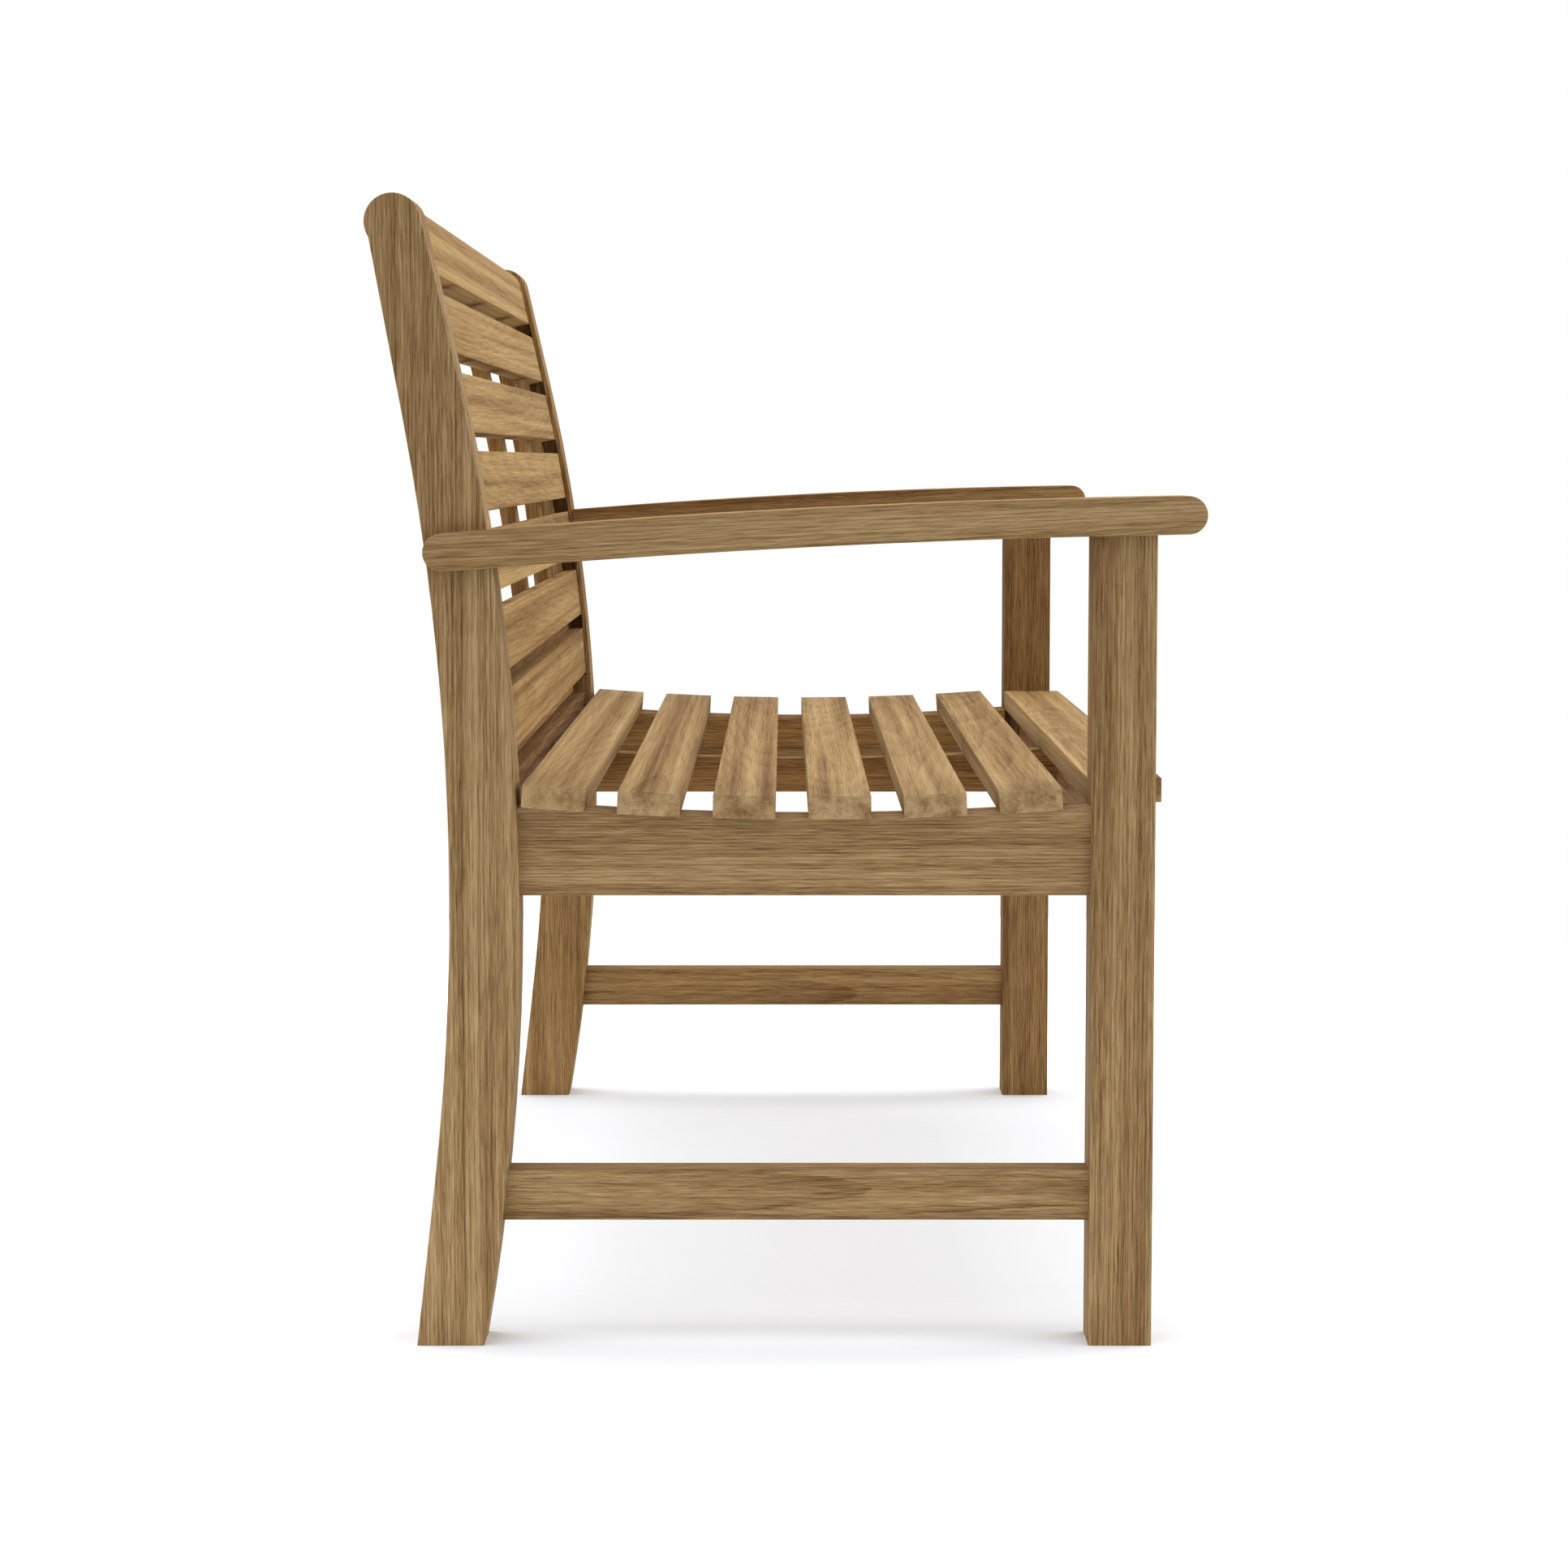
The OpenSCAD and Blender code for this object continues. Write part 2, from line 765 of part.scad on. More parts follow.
back_post(LEFT);  // left_back_post
back_post(RIGHT);  // right_back_post
front_leg(LEFT);  // left_front_leg
front_leg(RIGHT);  // right_front_leg
armrest(LEFT);  // left_armrest
armrest(RIGHT);  // right_armrest
side_rail(LEFT);  // left_side_rail
side_rail(RIGHT);  // right_side_rail
stretcher(LEFT);  // left_stretcher
stretcher(RIGHT);  // right_stretcher
seat_cleat(LEFT);  // left_seat_cleat
seat_cleat(RIGHT);  // right_seat_cleat
seat_bearer();
front_apron();
rear_rail();
seat_slat(0);  // seat_slat_1
seat_slat(1);  // seat_slat_2
seat_slat(2);  // seat_slat_3
seat_slat(3);  // seat_slat_4
seat_slat(4);  // seat_slat_5
seat_slat(5);  // seat_slat_6
front_slat();
crest_rail();
lower_back_rail();
back_batten(batten_x);  // back_batten_left
back_batten(0);  // back_batten_middle
back_batten(-batten_x);  // back_batten_right
back_slat(0);  // back_slat_1
back_slat(1);  // back_slat_2
back_slat(2);  // back_slat_3
back_slat(3);  // back_slat_4
back_slat(4);  // back_slat_5
back_slat(5);  // back_slat_6
frame_pegs();
armrest_dowels();
front_slat_dowels();
seat_screws();
cleat_screws();
back_slat_screws();
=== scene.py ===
"""A teak garden bench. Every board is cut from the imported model, with its free
edges eased, and finished in bare teak."""

import math
import random

import bmesh
import bpy
from mathutils import Matrix, Vector
from mathutils.bvhtree import BVHTree


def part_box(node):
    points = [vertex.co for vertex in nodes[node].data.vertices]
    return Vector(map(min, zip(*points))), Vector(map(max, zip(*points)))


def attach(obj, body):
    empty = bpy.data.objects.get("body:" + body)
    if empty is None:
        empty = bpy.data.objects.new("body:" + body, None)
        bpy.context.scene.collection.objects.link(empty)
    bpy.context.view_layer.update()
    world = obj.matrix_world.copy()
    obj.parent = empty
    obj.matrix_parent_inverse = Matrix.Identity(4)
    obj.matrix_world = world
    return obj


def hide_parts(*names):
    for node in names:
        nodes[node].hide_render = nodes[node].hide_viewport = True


MM = 0.001
MM_PER_M = 1000
X, Y, Z = Vector((1, 0, 0)), Vector((0, 1, 0)), Vector((0, 0, 1))

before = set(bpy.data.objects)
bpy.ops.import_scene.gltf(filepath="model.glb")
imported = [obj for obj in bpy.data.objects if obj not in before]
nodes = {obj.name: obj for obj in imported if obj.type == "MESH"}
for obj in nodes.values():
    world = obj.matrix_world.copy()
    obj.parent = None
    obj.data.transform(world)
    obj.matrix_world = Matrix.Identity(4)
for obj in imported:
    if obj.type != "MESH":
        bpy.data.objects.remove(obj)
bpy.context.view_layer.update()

# ---- Boards ----

# Welding and flattening of a CAD mesh
SAME = 0.0001 * MM
TINY = 0.002 * MM
FLAT = math.radians(0.05)

# Edges sharper than this are eased, in runs that turn less than this
SHARP = math.radians(30)

# Edges sharper than this that aren't eased stay hard in the shading
CRISP = math.radians(40)

# A run is eased where enough of it has no other piece this near. It is tested
# at points about this far apart.
TOUCHING = 0.6 * MM
SAMPLE = 8 * MM
FREE_SHARE = 0.2

# Runs round small holes and runs across the grain are eased less
SMALL_LOOP = 12 * MM
SMALL_EASE = 0.3 * MM
END_EASE = 0.5 * MM
ACROSS = 0.3

# Runs with a larger share of edges shorter than the ease are left as they are
SHORT_SHARE = 0.25
EASE_SEGMENTS = 3


def boxes_meet(a, b, gap):
    """Whether two boxes overlap or lie within the gap of each other."""
    return all(a[0][k] - gap <= b[1][k] and b[0][k] - gap <= a[1][k] for k in range(3))


def node_tree(name):
    """The node's surface, ready to be searched."""
    mesh = nodes[name].data
    return BVHTree.FromPolygons([v.co for v in mesh.vertices], [p.vertices for p in mesh.polygons])


node_boxes = {name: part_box(name) for name in nodes}
trees = {name: node_tree(name) for name in nodes}


def neighbours(name):
    """The other pieces' surfaces near this one."""
    own = node_boxes[name]
    return [trees[n] for n in nodes if n != name and boxes_meet(own, node_boxes[n], TOUCHING)]


def clean_copy(name):
    """The node's mesh, welded, with the flat faces in one piece each."""
    bm = bmesh.new()
    bm.from_mesh(nodes[name].data)
    bm.edges.layers.float.new("bevel_weight_edge")
    bmesh.ops.remove_doubles(bm, verts=bm.verts, dist=SAME)
    bmesh.ops.dissolve_degenerate(bm, dist=TINY, edges=bm.edges)
    bmesh.ops.dissolve_limit(bm, angle_limit=FLAT, verts=bm.verts, edges=bm.edges)
    return bm


def runs(edges):
    """The edges in runs that turn no sharp corner."""
    at = {}
    for e in edges:
        for v in e.verts:
            at.setdefault(v, []).append(e)
    left, found = set(edges), []
    for first in edges:
        if first not in left:
            continue
        left.discard(first)
        run, todo = [], [first]
        while todo:
            e = todo.pop()
            run.append(e)
            for v in e.verts:
                along = (v.co - e.other_vert(v).co).normalized()
                for other in at[v]:
                    onward = other.other_vert(v).co - v.co
                    if other in left and along.angle(onward, math.pi) < SHARP:
                        left.discard(other)
                        todo.append(other)
        found.append(run)
    return found


def free_share(run, near):
    """How much of a run has no other piece against it."""
    free = total = 0
    for e in run:
        a, b = (v.co for v in e.verts)
        steps = max(1, int((b - a).length / SAMPLE))
        for k in range(steps):
            point = a.lerp(b, (k + 0.5) / steps)
            weight = (b - a).length / steps
            total += weight
            if not any(tree.find_nearest(point, TOUCHING)[0] for tree in near):
                free += weight
    return free / max(total, SAME)


def run_size(run):
    """The longest side of a run's box."""
    points = [v.co for e in run for v in e.verts]
    return max(max(p[k] for p in points) - min(p[k] for p in points) for k in range(3))


def crowded(run, width):
    """Whether a run goes round corners eased in the CAD, too small to ease again."""
    short = sum(e.calc_length() < width for e in run)
    return short > SHORT_SHARE * len(run)


def crosses(run, grain):
    """Whether a run lies across the grain all the way."""
    for e in run:
        along = (e.verts[1].co - e.verts[0].co).normalized()
        if abs(along.dot(grain)) >= ACROSS:
            return False
    return True


def board(name, ease, grain):
    """A board with the node's shape, its free edges eased, riding on the bench."""
    bm = clean_copy(name)
    near = neighbours(name)
    sharp = [e for e in bm.edges if e.is_manifold and e.is_convex and e.calc_face_angle(0) > SHARP]
    widths = {}
    for run in runs(sharp):
        if free_share(run, near) < FREE_SHARE or crowded(run, ease):
            continue
        width = ease
        if run_size(run) < SMALL_LOOP:
            width = SMALL_EASE
        elif crosses(run, grain):
            width = min(ease, END_EASE)
        for e in run:
            widths[e] = width
    weight = bm.edges.layers.float["bevel_weight_edge"]
    widest = max(widths.values(), default=0)
    for e in bm.edges:
        if e in widths:
            e[weight] = widths[e] / widest
        elif e.is_manifold and e.calc_face_angle(0) > CRISP:
            e.smooth = False
    for face in bm.faces:
        face.smooth = True
    mesh = bpy.data.meshes.new(name + "_board")
    bm.to_mesh(mesh)
    bm.free()
    piece = bpy.data.objects.new(name + "_board", mesh)
    bpy.context.scene.collection.objects.link(piece)
    if widths:
        bevel = piece.modifiers.new("eased edges", "BEVEL")
        bevel.limit_method = "WEIGHT"
        bevel.width = widest
        bevel.segments = EASE_SEGMENTS
        bevel.use_clamp_overlap = False
        bevel.miter_outer = "MITER_SHARP"
    flat = piece.modifiers.new("flat faces", "WEIGHTED_NORMAL")
    flat.keep_sharp = True
    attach(piece, "root")
    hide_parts(name)
    return piece


# ---- Materials ----


class Graph:
    """A material's nodes, with its shader ready."""

    def __init__(self, name):
        self.material = bpy.data.materials.new(name)
        self.material.use_nodes = True
        self.tree = self.material.node_tree
        self.shader = self.tree.nodes["Principled BSDF"]

    def node(self, kind, inputs, **settings):
        made = self.tree.nodes.new("ShaderNode" + kind)
        for key, value in settings.items():
            setattr(made, key, value)
        for key, value in inputs.items():
            if isinstance(value, bpy.types.NodeSocket):
                self.tree.links.new(value, made.inputs[key])
            else:
                made.inputs[key].default_value = value
        return made

    def place(self):
        """The object's own coordinates, in metres."""
        return self.node("TexCoord", {}).outputs["Object"]

    def math(self, operation, *values, clamp=False):
        made = self.node("Math", dict(enumerate(values)), operation=operation, use_clamp=clamp)
        return made.outputs[0]

    def add_scaled(self, total, value, amount, clamp=False):
        """The total, and this amount of the value."""
        return self.math("MULTIPLY_ADD", value, amount, total, clamp=clamp)

    def vector(self, operation, *values):
        made = self.node("VectorMath", dict(enumerate(values)), operation=operation)
        return made.outputs["Value" if operation in ("LENGTH", "DOT_PRODUCT") else "Vector"]

    def noise(self, place, scale, offset, detail, roughness, colour=False):
        """Noise with its own number of waves a metre along each axis."""
        inputs = {
            "Vector": self.vector("MULTIPLY_ADD", place, scale, offset),
            "Scale": 1.0,
            "Detail": detail,
            "Roughness": roughness,
        }
        return self.node("TexNoise", inputs).outputs["Color" if colour else "Fac"]

    def span(self, value, low, high, to_low=0.0, to_high=1.0):
        """The value, from low to high, turned into one from to_low to to_high."""
        values = {0: value, 1: low, 2: high, 3: to_low, 4: to_high}
        return self.node("MapRange", values, clamp=True).outputs[0]

    def ramp(self, value, stops):
        """The value turned into a colour, from the colours at its stops."""
        made = self.node("ValToRGB", {0: value})
        ramp = made.color_ramp
        while len(ramp.elements) < len(stops):
            ramp.elements.new(0.5)
        for element, (place, colour) in zip(ramp.elements, stops):
            element.position = place
            element.color = (*colour, 1)
        return made.outputs[0]

    def mix(self, amount, a, b, blend="MIX"):
        """Two colours mixed. The node's colour sockets are its seventh and eighth."""
        made = self.node("Mix", {}, data_type="RGBA", blend_type=blend)
        for key, value in ((0, amount), (6, a), (7, b)):
            if isinstance(value, bpy.types.NodeSocket):
                self.tree.links.new(value, made.inputs[key])
            else:
                made.inputs[key].default_value = value if key == 0 else (*value, 1)
        return made.outputs[2]

    def finish(self, colour, roughness, height, depth):
        """Joins the looks to the shader and gives the material."""
        bump = self.node("Bump", {"Height": height, "Strength": 1.0, "Distance": depth})
        self.tree.links.new(colour, self.shader.inputs["Base Color"])
        self.tree.links.new(roughness, self.shader.inputs["Roughness"])
        self.tree.links.new(bump.outputs[0], self.shader.inputs["Normal"])
        return self.material


TEAK_TONES = (
    (0.00, (0.070, 0.032, 0.010)),
    (0.28, (0.148, 0.076, 0.026)),
    (0.50, (0.245, 0.143, 0.056)),
    (0.72, (0.345, 0.220, 0.096)),
    (1.00, (0.490, 0.340, 0.168)),
)
TEAK_RED = (0.225, 0.112, 0.038)
TEAK_ROUGH = (0.82, 0.68)
TEAK_ROUGH_TONES = (0.1, 0.9)
TEAK_SPECULAR = 0.14
TEAK_RELIEF = 0.2 * MM

# Where a board's noise starts, at most this far from the origin
NOISE_SPREAD = 50

# Noise in streaks along the grain: width and length (mm), detail, roughness
STREAKS = {
    "fibre": (0.9, 30, 3.0, 0.6),
    "breaks": (2.4, 60, 2.0, 0.5),
    "broad": (18, 1200, 2.0, 0.55),
    "streak": (5, 280, 2.0, 0.6),
    "dark": (1.1, 55, 2.0, 0.6),
    "pores": (0.6, 17, 1.0, 0.5),
}
BREAKS_SPAN = (0.36, 0.64, 0.4, 1.0)
DARK_SPAN = (0.54, 0.68)
PORES_SPAN = (0.56, 0.66)

# Noise that isn't streaky: waves a metre along each axis, detail, roughness
WANDER_WAVES = (7, 7, 3)
WANDER_NOISE = (1.0, 0.4)
RED_WAVES = (30, 30, 1.6)
RED_NOISE = (1.0, 0.5)
RED_SPAN = (0.45, 0.8, 0, 0.3)

# Growth rings: how much the fibre shifts them, and how thin their dark part is
RING_SHIFT = 0.12
RING_SHARPNESS = 2.6

# End grain: from and to which cosine between the face and the grain it shows,
# how dark its rings are, how much of the fibre shows, and how much lighter it is
ENDS_SPAN = (0.75, 0.95)
ENDS_RING = 0.42
ENDS_FIBRE = 0.3
ENDS_LIGHTER = 0.16

# How high the fibre and the rings stand, and how deep the pores lie
FIBRE_RELIEF = 0.7
RING_RELIEF = 0.35
PORE_RELIEF = -0.8


def tree_place(g, middle, grain, face, heart, tilt):
    """Coordinates with the heart of the board's tree on their Z axis.

    The heart lies at a distance from the board's middle, along its face's
    direction and across it.
    """
    along = grain.normalized()
    out = (face - along * face.dot(along)).normalized()
    side = along.cross(out)
    turned = Matrix((out, side, along)).transposed() @ Matrix.Rotation(tilt, 3, "Y")
    inputs = {
        "Vector": g.place(),
        "Location": middle + out * heart[0] + side * heart[1],
        "Rotation": turned.to_euler(),
    }
    return g.node("Mapping", inputs, vector_type="TEXTURE").outputs[0]


def teak(g, local, grain, figure, reach, seed, look, light, tint_and_shade):
    """Bare teak for one board, from its place in the tree, under a tint that for some boards is
    painted shade.
    """
    rng = random.Random(seed)

    def offset():
        return tuple(rng.uniform(-NOISE_SPREAD, NOISE_SPREAD) for _ in range(3))

    def streaks(kind):
        width, length, detail, roughness = STREAKS[kind]
        scale = (MM_PER_M / width, MM_PER_M / width, MM_PER_M / length / reach)
        return g.noise(local, scale, offset(), detail, roughness)

    # growth rings, wandering along the board
    waves = (WANDER_WAVES[0], WANDER_WAVES[1], WANDER_WAVES[2] / math.sqrt(reach))
    wander = g.noise(local, waves, offset(), *WANDER_NOISE, colour=True)
    wander = g.vector("SUBTRACT", wander, (0.5, 0.5, 0.5))
    wander = g.vector("MULTIPLY", wander, (figure, figure, 0))
    ringed = g.vector("MULTIPLY", g.vector("ADD", local, wander), (1, 1, 0))
    fibre = streaks("fibre")
    shift = g.math("MULTIPLY", fibre, RING_SHIFT)
    ring = g.add_scaled(shift, g.vector("LENGTH", ringed), 1 / (look["pitch"] * MM))
    breaks = g.span(streaks("breaks"), *BREAKS_SPAN)
    ring = g.math("POWER", g.math("FRACT", ring), RING_SHARPNESS)
    ring = g.math("MULTIPLY", ring, breaks)

    # bands, streaks, thin dark lines and open pores
    broad = streaks("broad")
    streak = streaks("streak")
    dark = g.span(streaks("dark"), *DARK_SPAN)
    pores = g.span(streaks("pores"), *PORES_SPAN)

    # end grain is smoother, and its rings show more
    normal = g.node("NewGeometry", {}).outputs["Normal"]
    ends = g.math("ABSOLUTE", g.vector("DOT_PRODUCT", normal, tuple(grain.normalized())))
    ends = g.span(ends, *ENDS_SPAN)
    ring_depth = g.span(ends, 0, 1, -look["ring"], -ENDS_RING)
    fibre_depth = g.span(ends, 0, 1, look["fibre"], ENDS_FIBRE * look["fibre"])

    # the tone starts from the board's mean, which holds painted light and shade for some boards
    tone = g.add_scaled(light, g.math("SUBTRACT", broad, 0.5), look["band"])
    tone = g.add_scaled(tone, g.math("SUBTRACT", streak, 0.5), look["streak"])
    tone = g.add_scaled(tone, g.math("SUBTRACT", fibre, 0.5), fibre_depth)
    tone = g.add_scaled(tone, ring, ring_depth)
    tone = g.add_scaled(tone, dark, -look["line"])
    tone = g.add_scaled(tone, pores, -look["pore"])
    tone = g.add_scaled(tone, ends, ENDS_LIGHTER, clamp=True)
    colour = g.ramp(tone, TEAK_TONES)
    redder = g.span(g.noise(local, RED_WAVES, offset(), *RED_NOISE), *RED_SPAN)
    colour = g.mix(redder, colour, TEAK_RED)
    # The tint, kept off the end grain. On the left side and the inner boards it is painted shade,
    # darker and browner.
    colour = g.mix(g.math("SUBTRACT", 1.0, ends), colour, tint_and_shade, "MULTIPLY")

    roughness = g.span(tone, *TEAK_ROUGH_TONES, *TEAK_ROUGH)
    relief = g.math("MULTIPLY", fibre, FIBRE_RELIEF)
    relief = g.add_scaled(relief, ring, RING_RELIEF)
    relief = g.add_scaled(relief, pores, PORE_RELIEF)
    g.shader.inputs["Specular IOR Level"].default_value = TEAK_SPECULAR
    return g.finish(colour, roughness, relief, TEAK_RELIEF)


# End grain of the dowels: waves a metre, offset, detail and roughness of its noise
PEG_SPECKLE = ((1400, 1400, 1400), (3, 7, 1), 3.0, 0.7)
PEG_CLOUD = ((160, 160, 160), (9, 2, 5), 2.0, 0.5)
PEG_SPECKLE_SHARE = 0.6
PEG_CLOUD_SHARE = 0.35
PEG_TONES = (
    (0.25, (0.07, 0.033, 0.013)),
    (0.5, (0.15, 0.078, 0.032)),
    (0.75, (0.24, 0.14, 0.065)),
)
PEG_ROUGH = (0.3, 0.7, 0.75, 0.55)
PEG_RELIEF = 0.2 * MM


def peg_wood():
    """End grain of the dowels, darker than the boards."""
    g = Graph("peg_wood")
    place = g.place()
    speckle = g.noise(place, *PEG_SPECKLE)
    cloud = g.noise(place, *PEG_CLOUD)
    tone = g.math("MULTIPLY", speckle, PEG_SPECKLE_SHARE)
    tone = g.math("ADD", tone, g.math("MULTIPLY", cloud, PEG_CLOUD_SHARE))
    colour = g.ramp(tone, PEG_TONES)
    return g.finish(colour, g.span(speckle, *PEG_ROUGH), speckle, PEG_RELIEF)


# Brass: waves a metre, offset, detail and roughness of its noise
BRASS_CLOUD = ((420, 420, 420), (4, 1, 8), 3.0, 0.6)
BRASS_SCRATCH = ((2600, 300, 2600), (1, 6, 2), 2.0, 0.6)
BRASS_TONES = (
    (0.3, (0.16, 0.105, 0.045)),
    (0.5, (0.34, 0.235, 0.1)),
    (0.7, (0.5, 0.37, 0.17)),
)
BRASS_ROUGH = (0.3, 0.7, 0.5, 0.28)
BRASS_RELIEF = 0.03 * MM


def screw_brass():
    """Brass gone dull out of doors."""
    g = Graph("screw_brass")
    place = g.place()
    cloud = g.noise(place, *BRASS_CLOUD)
    scratch = g.noise(place, *BRASS_SCRATCH)
    colour = g.ramp(cloud, BRASS_TONES)
    g.shader.inputs["Metallic"].default_value = 1.0
    return g.finish(colour, g.span(cloud, *BRASS_ROUGH), scratch, BRASS_RELIEF)


# ---- The pieces ----

# Two looks of teak. Pitch is that of the growth rings (mm), light is the mean
# tone, and the rest are how strongly each feature shows.
FRAME_LOOK = {
    "light": 0.68,
    "pitch": 2.2,
    "band": 0.9,
    "streak": 0.55,
    "fibre": 1.10,
    "line": 0.26,
    "pore": 0.12,
    "ring": 0.30,
}
SLAT_LOOK = {
    "light": 0.73,
    "pitch": 1.7,
    "band": 1.3,
    "streak": 0.65,
    "fibre": 0.65,
    "line": 0.18,
    "pore": 0.04,
    "ring": 0.17,
}
# Tints over a board's colour. The left side's tint and the inner boards' tint are painted shade:
# they make those boards darker and browner for the shade they stand in.
RIGHT_TINT = (1.0, 1.0, 1.0)
LEFT_SHADE_TINT = (1.0, 0.93, 0.82)
INNER_SHADE_TINT = (1.0, 0.86, 0.66)
SEAT_TINT = (1.0, 0.97, 0.83)
BACK_TINT = (1.0, 0.94, 0.71)

# How much lighter than its like a board is. This is partly the board's own tone and partly painted
# light and shade for where it sits: the rear rail, the lowest back slat and the left front leg are
# darkened for their shade.
LIGHTER_TONE_AND_SHADE = {
    "right_armrest": 0.12,
    "right_back_post": 0.09,
    "right_front_leg": 0.07,
    "right_stretcher": 0.07,
    "right_side_rail": 0.04,
    "left_back_post": 0.06,
    "left_front_leg": -0.13,
    "left_stretcher": -0.04,
    "back_slat_1": -0.10,
    "back_slat_2": -0.01,
    "rear_rail": -0.18,
    "seat_slat_1": 0.02,
    "seat_slat_4": 0.05,
    "seat_slat_6": 0.05,
    "front_slat": -0.03,
    "crest_rail": 0.05,
}
LIGHT_SPREAD = 0.025

# Streaks and figure are this much longer on the boards along the bench
LONG_REACH = 6.0

# How a board lies in its tree: how far the heart is behind its face and beside
# its middle (mm), its slope to the heart (degrees), and how far the rings
# wander (mm)
QUARTER_BEHIND = (70, 100)
QUARTER_BESIDE = (85, 115)
QUARTER_SLOPE = 0.3
QUARTER_FIGURE = 3
FLAT_BEHIND = (120, 180)
FLAT_BESIDE = 16
FLAT_SLOPE = (0.2, 0.6)
FLAT_FIGURE_LONG = 17
FLAT_FIGURE = 6

ARM_GRAIN = Vector((0, 1, -0.05))
SLATS = 6

# How far the edges are eased (mm)
FRAME_EASE = 0.8
INNER_EASE = 0.6

# A board's seed comes from the letters of its name, weighted from this up
FIRST_WEIGHT = 3


def quarter_sawn(rng, grain):
    """The heart to one side, so that the rings run straight along the face."""
    behind = -rng.uniform(*QUARTER_BEHIND) * MM
    beside = rng.choice((-1, 1)) * rng.uniform(*QUARTER_BESIDE) * MM
    slope = rng.uniform(-QUARTER_SLOPE, QUARTER_SLOPE)
    return (behind, beside), math.radians(slope), QUARTER_FIGURE * MM


def flat_sawn(rng, grain):
    """The heart behind the face, so that the rings show as arches."""
    behind = -rng.uniform(*FLAT_BEHIND) * MM
    beside = rng.uniform(-FLAT_BESIDE, FLAT_BESIDE) * MM
    tilt = math.radians(rng.uniform(*FLAT_SLOPE)) * rng.choice((-1, 1))
    figure = (FLAT_FIGURE_LONG if grain == X else FLAT_FIGURE) * MM
    return (behind, beside), tilt, figure


def sawn(name, grain, face, ease, cut, look, tint_and_shade):
    """Makes one board and its own teak, cut from its own place in the tree."""
    seed = sum(ord(c) * weight for weight, c in enumerate(name, FIRST_WEIGHT))
    rng = random.Random(seed)
    low, high = node_boxes[name]
    piece = board(name, ease * MM, grain)
    heart, tilt, figure = cut(rng, grain)
    # The board's mean tone: the look's, a random share, and the board's shift, which is partly
    # painted light and shade
    light = look["light"] + (rng.uniform(-LIGHT_SPREAD, LIGHT_SPREAD) + LIGHTER_TONE_AND_SHADE.get(name, 0))
    reach = LONG_REACH if grain == X else 1.0
    g = Graph(name + "_teak")
    local = tree_place(g, (low + high) / 2, grain, face, heart, tilt)
    piece.data.materials.append(teak(g, local, grain, figure, reach, seed, look, light, tint_and_shade))


def frame_board(name, grain, face, tint_and_shade, cut=quarter_sawn, ease=FRAME_EASE):
    sawn(name, grain, face, ease, cut, FRAME_LOOK, tint_and_shade)


# A board inside the bench, tinted darker and browner as painted shade
def inner_board(name, grain, face, cut=quarter_sawn):
    frame_board(name, grain, face, INNER_SHADE_TINT, cut, INNER_EASE)


def slat(name, face, tint_and_shade):
    sawn(name, X, face, INNER_EASE, flat_sawn, SLAT_LOOK, tint_and_shade)


# The left side's boards get a darker, browner tint, painted shade; the right side's keep the
# wood's colour
for side, out, tint_and_shade in (("left_", X, LEFT_SHADE_TINT), ("right_", -X, RIGHT_TINT)):
    frame_board(side + "back_post", Z, out, tint_and_shade)
    frame_board(side + "front_leg", Z, out, tint_and_shade)
    frame_board(side + "armrest", ARM_GRAIN, out, tint_and_shade)
    frame_board(side + "side_rail", Y, out, tint_and_shade)
    frame_board(side + "stretcher", Y, out, tint_and_shade, flat_sawn)
    inner_board(side + "seat_cleat", Y, -out)

inner_board("seat_bearer", Y, X)
inner_board("front_apron", X, -Y, flat_sawn)
inner_board("rear_rail", X, Y, flat_sawn)
sawn("crest_rail", X, -Y, FRAME_EASE, flat_sawn, SLAT_LOOK, BACK_TINT)
inner_board("lower_back_rail", X, -Y, flat_sawn)
for place in ("left", "middle", "right"):
    inner_board("back_batten_" + place, Z, -Y)
for number in range(1, SLATS + 1):
    slat(f"seat_slat_{number}", Z, SEAT_TINT)
    slat(f"back_slat_{number}", -Y, BACK_TINT)
slat("front_slat", Z, SEAT_TINT)

for material, names in (
    (peg_wood(), ("frame_pegs", "armrest_dowels", "front_slat_dowels")),
    (screw_brass(), ("seat_screws", "cleat_screws", "back_slat_screws")),
):
    for name in names:
        mesh = nodes[name].data
        mesh.materials.clear()
        mesh.materials.append(material)

# ---- Studio ----

FLOOR_R = 2.2
FLOOR_SIDES = 96
FLOOR_PAINT = (0.875, 0.905, 0.945, 1)
FLOOR_ROUGH = 0.9

# The sky's strength to the right of the bench and below the horizon, and the
# parts of the direction's X and Z over which it changes
SKY_RIGHT, SKY_BELOW = 0.70, 0.20
RIGHT_SPAN = (-0.9, 0.0)
HORIZON_SPAN = (-0.05, 0.05)

# Name, direction that it comes from, strength, and how wide it looks (degrees)
LIGHTS = (
    ("top", (0.1, 0.15, 1.0), 1.3, 70),
    ("front", (0.15, -1.0, 0.55), 1.3, 50),
    ("rear", (0.15, 1.0, 0.5), 0.8, 50),
)

CAMERA_AT = (-3.510, 0.0020, 0.7031)
CAMERA_TILT, CAMERA_TURN = 85, -90
CAMERA_LENS, CAMERA_SENSOR = 85, 36

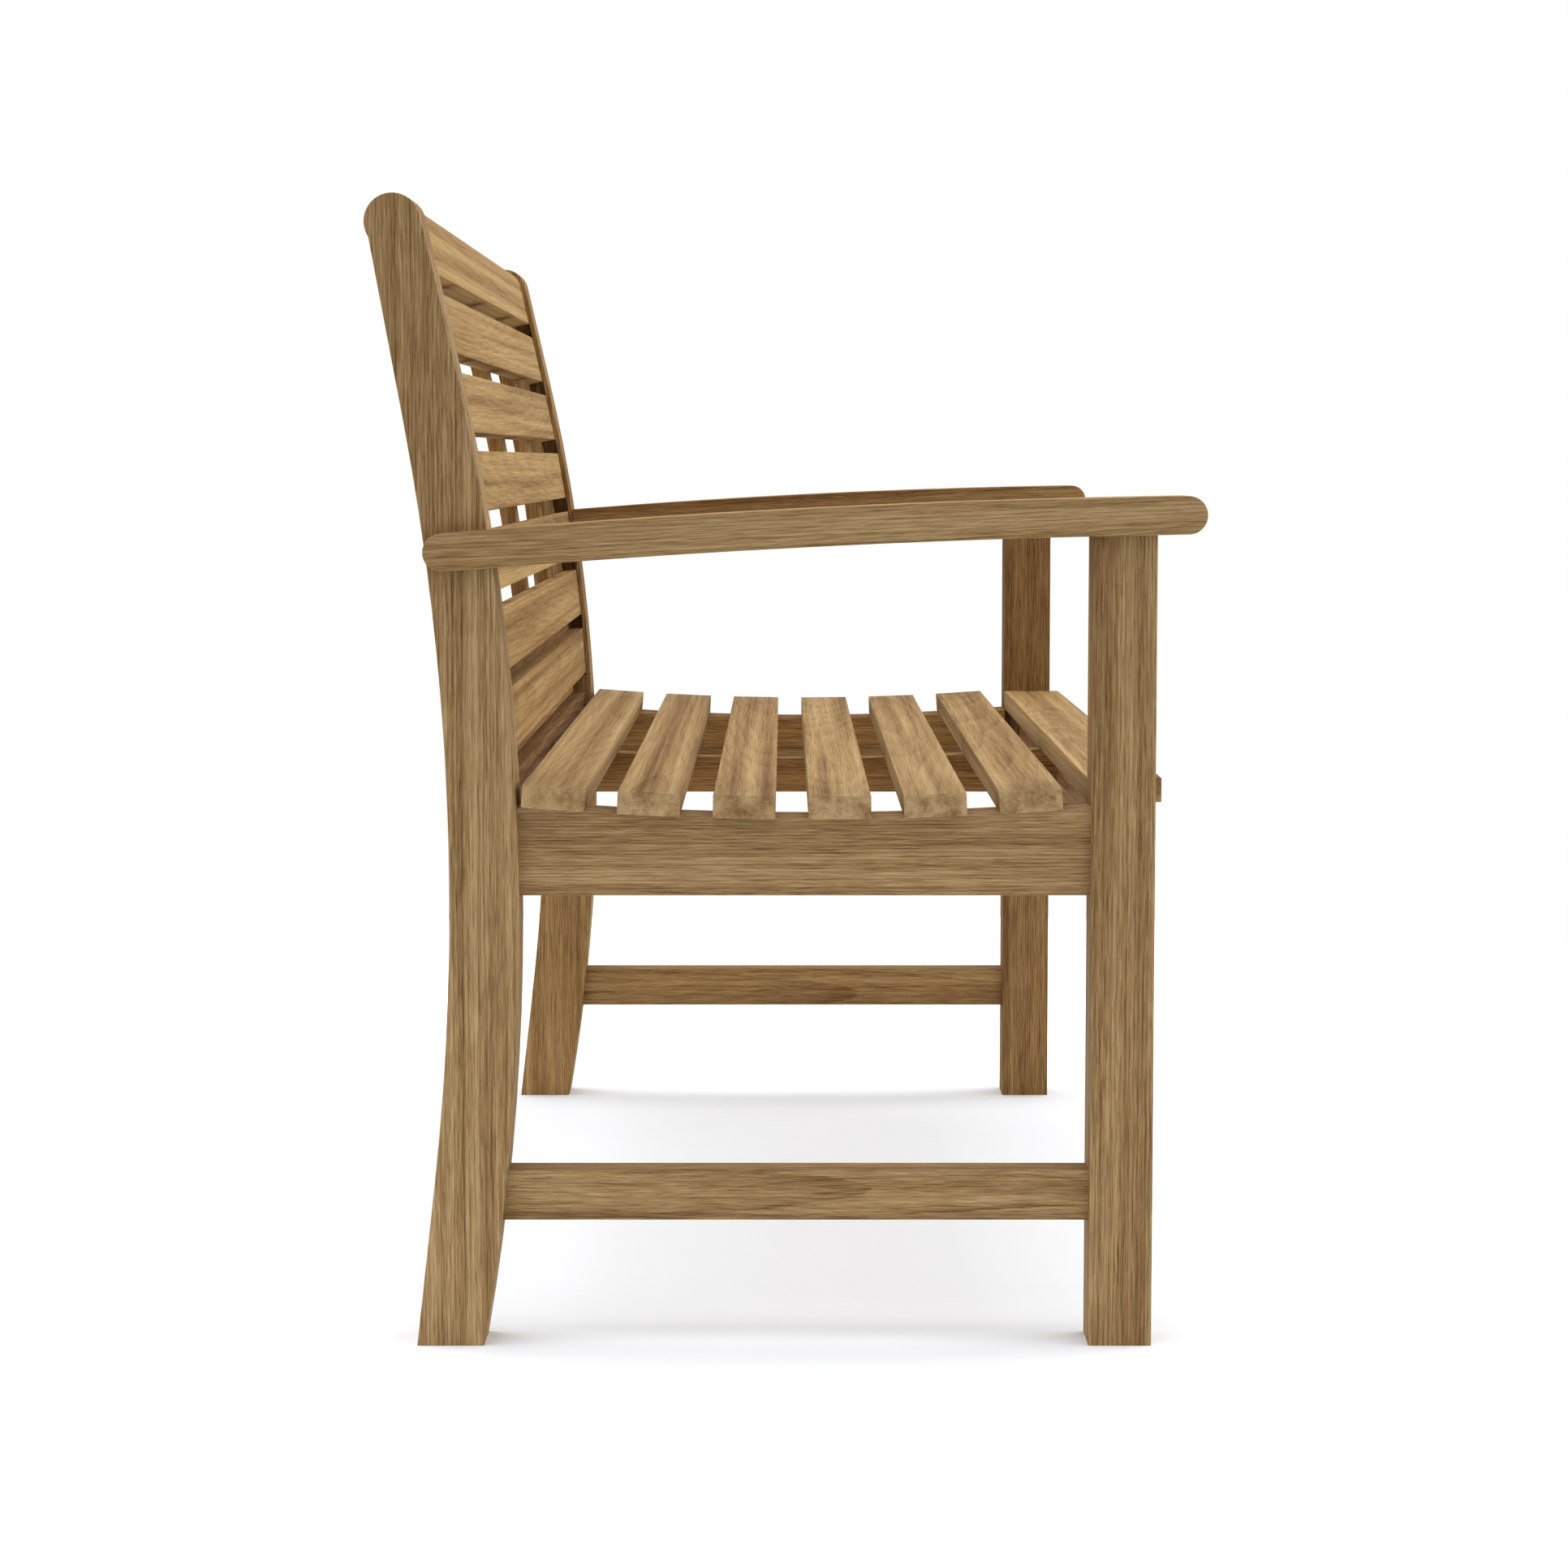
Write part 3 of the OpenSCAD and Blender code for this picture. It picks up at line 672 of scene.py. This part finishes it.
bpy.ops.mesh.primitive_circle_add(vertices=FLOOR_SIDES, radius=FLOOR_R, fill_type="NGON")
floor = bpy.context.object
floor.name = "floor"
paint = bpy.data.materials.new("floor")
paint.use_nodes = True
painted = paint.node_tree.nodes["Principled BSDF"].inputs
painted["Base Color"].default_value = FLOOR_PAINT
painted["Roughness"].default_value = FLOOR_ROUGH
painted["Specular IOR Level"].default_value = 0.0
floor.data.materials.append(paint)

world = bpy.data.worlds.new("studio")
world.use_nodes = True
sky = world.node_tree
backdrop = sky.nodes["Background"]
backdrop.inputs["Color"].default_value = (1, 1, 1, 1)
around = sky.nodes.new("ShaderNodeTexCoord")
toward = sky.nodes.new("ShaderNodeSeparateXYZ")
seen = sky.nodes.new("ShaderNodeLightPath")
sky.links.new(around.outputs["Generated"], toward.inputs[0])


def sky_node(kind, operation, *values):
    """A node in the sky, with its inputs in order."""
    made = sky.nodes.new("ShaderNode" + kind)
    if operation:
        made.operation = operation
    for key, value in enumerate(values):
        if isinstance(value, bpy.types.NodeSocket):
            sky.links.new(value, made.inputs[key])
        else:
            made.inputs[key].default_value = value
    return made.outputs[0]


# the sky lights the bench unevenly, and looks plain white itself
across = sky_node("MapRange", None, toward.outputs["X"], *RIGHT_SPAN, SKY_RIGHT, 1.0)
above = sky_node("MapRange", None, toward.outputs["Z"], *HORIZON_SPAN, SKY_BELOW, 1.0)
dimmed = sky_node("Math", "MULTIPLY", across, above)
white = sky_node("Math", "MAXIMUM", dimmed, seen.outputs["Is Camera Ray"])
sky.links.new(white, backdrop.inputs["Strength"])
bpy.context.scene.world = world

for name, direction, strength, spread in LIGHTS:
    light = bpy.data.lights.new(name, "SUN")
    light.energy = strength
    light.angle = math.radians(spread)
    lamp = bpy.data.objects.new(name, light)
    lamp.rotation_euler = (-Vector(direction)).to_track_quat("-Z", "Y").to_euler()
    bpy.context.scene.collection.objects.link(lamp)

camera = bpy.data.objects.new("camera", bpy.data.cameras.new("camera"))
camera.location = CAMERA_AT
camera.rotation_euler = (math.radians(CAMERA_TILT), 0, math.radians(CAMERA_TURN))
camera.data.lens = CAMERA_LENS
camera.data.sensor_width = CAMERA_SENSOR
bpy.context.scene.collection.objects.link(camera)
bpy.context.scene.camera = camera
bpy.context.scene.view_settings.view_transform = "Standard"
